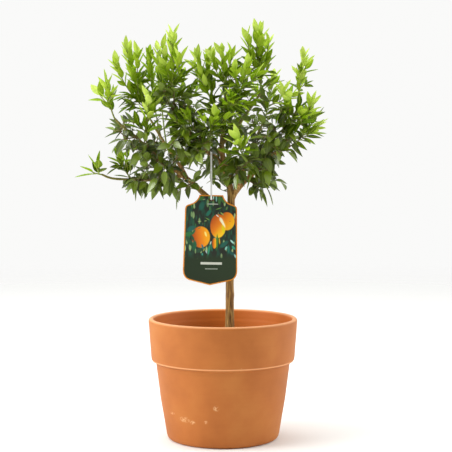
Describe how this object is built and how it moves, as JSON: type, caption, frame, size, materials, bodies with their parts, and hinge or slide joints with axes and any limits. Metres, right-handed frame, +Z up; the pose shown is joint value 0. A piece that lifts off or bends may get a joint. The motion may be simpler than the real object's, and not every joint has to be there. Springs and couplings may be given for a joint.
{
  "type": "potted chinotto tree",
  "caption": "Young chinotto orange tree with an open bushy crown on a bare stem, in a collared terracotta pot, with a picture label hanging from a limb.",
  "frame": {"origin": "middle of the pot's base, on the surface that the pot stands on", "axes": "+Z up the pot's axis; -Y towards the side that the label faces; +X to the right as the label is read"},
  "size_m": [0.3925, 0.2752, 0.6723],
  "materials": {
    "terracotta": "matte",
    "compost": "matte",
    "bark": "matte",
    "young_leaf": "satin",
    "mature_leaf": "satin",
    "label_card": "gloss",
    "strap_plastic": "satin"
  },
  "bodies": {
    "root": {"pot": "terracotta", "soil": "compost", "trunk": "bark", "limb_left": "bark", "limb_low_left": "bark", "limb_mid_left": "bark", "limb_upper_left": "bark", "limb_front": "bark", "limb_right": "bark", "limb_front_right": "bark", "limb_upper_right": "bark", "limb_back_left": "bark", "limb_back_right": "bark", "shoot_far_left": "young_leaf", "shoot_left_end": "young_leaf", "shoot_left_low": "young_leaf", "shoot_left_inner": "mature_leaf", "shoot_left_crook": "mature_leaf", "shoot_tall_left": "young_leaf", "shoot_left_front": "young_leaf", "shoot_left_behind": "young_leaf", "shoot_left_mid": "young_leaf", "shoot_crown_left": "young_leaf", "shoot_crown_mid_left": "young_leaf", "shoot_crown_mid": "young_leaf", "shoot_crown_mid_right": "young_leaf", "shoot_crown_front": "young_leaf", "shoot_crown_right": "young_leaf", "shoot_right_front": "young_leaf", "shoot_tall_right": "young_leaf", "shoot_right_side": "young_leaf", "shoot_far_right": "young_leaf", "shoot_right_dark": "mature_leaf", "shoot_right_low": "mature_leaf", "shoot_right_heart": "mature_leaf", "shoot_right_belly": "mature_leaf", "shoot_right_hang": "mature_leaf", "shoot_right_hang_back": "mature_leaf", "shoot_front_bright": "young_leaf", "shoot_front_pale": "mature_leaf", "shoot_front": "young_leaf", "shoot_front_left": "young_leaf", "shoot_front_dark": "mature_leaf", "shoot_left_heart": "mature_leaf", "shoot_upper_dark": "mature_leaf", "shoot_upper_left_dark": "mature_leaf", "shoot_left_belly": "mature_leaf", "shoot_left_shoulder": "mature_leaf", "shoot_left_hang": "mature_leaf", "shoot_left_hang_inner": "mature_leaf", "shoot_label_side": "mature_leaf", "shoot_back_left": "young_leaf", "shoot_back_right": "young_leaf", "shoot_back_left_dark": "mature_leaf", "shoot_back_right_dark": "mature_leaf", "shoot_back": "young_leaf", "shoot_back_low": "mature_leaf", "shoot_left_back": "mature_leaf", "label": "label_card", "label_strap": "strap_plastic"}
  },
  "joints": []
}
